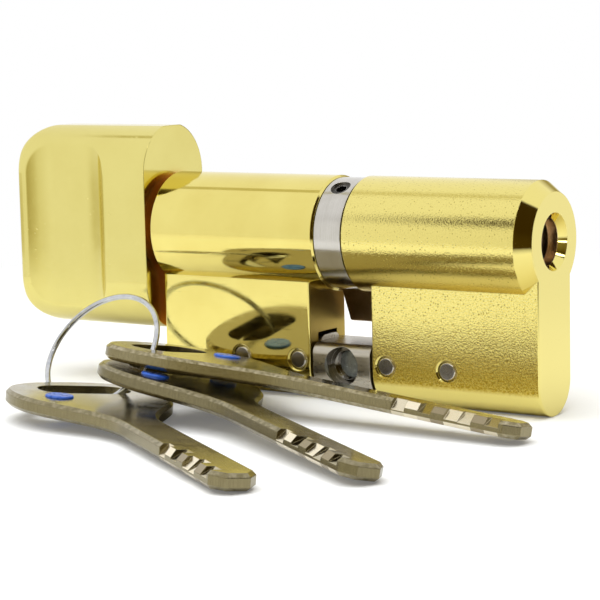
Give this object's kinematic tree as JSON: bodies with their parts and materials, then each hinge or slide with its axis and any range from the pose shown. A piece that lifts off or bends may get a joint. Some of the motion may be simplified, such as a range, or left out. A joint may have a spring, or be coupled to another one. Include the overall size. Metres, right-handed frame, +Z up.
{
  "type": "profile cylinder door lock",
  "caption": "Euro profile lock cylinder with a thumb knob on one half, a keyed rotating-disc plug in the other, a cam between them, and its keys on a wire ring.",
  "frame": {"origin": "where the fixing screw's axis crosses the lock's middle plane, in the connecting bar", "axes": "+X along the barrel to the keyed end, +Z up from the keel to the barrel, -Y the side that the keys lie on"},
  "size_m": [0.0957, 0.0722, 0.04],
  "materials": {
    "wrinkled_gold": "gold plated over a fine wrinkled texture",
    "polished_gold": "gold plated, mirror polished",
    "knob_gold": "gold plated, polished",
    "satin_nickel": "satin nickel",
    "grey_steel": "plain grey steel",
    "zinc": "bright zinc plating",
    "dark_steel": "black oxide",
    "bright_steel": "ground steel",
    "bronze": "sintered bronze",
    "disc_brass": "machined brass",
    "nickel_silver": "worn nickel silver",
    "blue_plastic": "moulded",
    "wire_steel": "drawn wire"
  },
  "bodies": {
    "lock_body": {"keyed_housing": "wrinkled_gold", "knob_housing": "polished_gold", "connecting_bar": "grey_steel", "connecting_pins": "grey_steel", "cross_grub_screw": "zinc", "spindle_bushes": "bronze", "plug_circlip": "dark_steel", "drill_pins": "dark_steel"},
    "knob_and_cam": {"knob": "knob_gold", "knob_set_screw": "dark_steel", "knob_spindle": "bright_steel", "thrust_washer": "bronze", "cam": "satin_nickel", "cam_grub_screw": "dark_steel"},
    "plug": {"plug_drum": "disc_brass", "guard_disc": "bright_steel", "disc_spacers": "bright_steel", "sidebar": "bright_steel", "clutch_dog": "bright_steel", "clutch_spring": "dark_steel", "code_disc_01": "disc_brass", "code_disc_02": "disc_brass", "code_disc_03": "disc_brass", "code_disc_04": "disc_brass", "code_disc_05": "disc_brass", "code_disc_06": "disc_brass", "code_disc_07": "disc_brass", "code_disc_08": "disc_brass", "code_disc_09": "disc_brass", "code_disc_10": "disc_brass"},
    "key_bunch": {"key_ring": "wire_steel"},
    "first_key": {"key_1": "nickel_silver", "key_dot_1": "blue_plastic"},
    "second_key": {"key_2": "nickel_silver", "key_dot_2": "blue_plastic"},
    "third_key": {"key_3": "nickel_silver", "key_dot_3": "blue_plastic"}
  },
  "joints": [
    {"name": "knob_turn", "type": "hinge", "parent": "lock_body", "child": "knob_and_cam", "pos_m": [0, 0, 0.019], "axis": [1, 0, 0], "continuous": true},
    {"name": "plug_turn", "type": "hinge", "parent": "lock_body", "child": "plug", "pos_m": [0.015, 0, 0.019], "axis": [1, 0, 0], "continuous": true},
    {"name": "key_bunch_pull", "type": "slide", "parent": "lock_body", "child": "key_bunch", "axis": [0, -1, 0], "range_m": [0, 0.06]},
    {"name": "first_key_swing", "type": "hinge", "parent": "key_bunch", "child": "first_key", "pos_m": [-0.02253, -0.02073, 0.00248], "axis": [0, 0, 1], "range_deg": [-8, 4]},
    {"name": "second_key_swing", "type": "hinge", "parent": "key_bunch", "child": "second_key", "pos_m": [-0.02317, -0.0227, 0.00005], "axis": [0, 0, 1], "range_deg": [-5, 4]},
    {"name": "third_key_swing", "type": "hinge", "parent": "key_bunch", "child": "third_key", "pos_m": [-0.0266, -0.02536, -0.0035], "axis": [0, 0, 1], "range_deg": [-6, 3]}
  ]
}
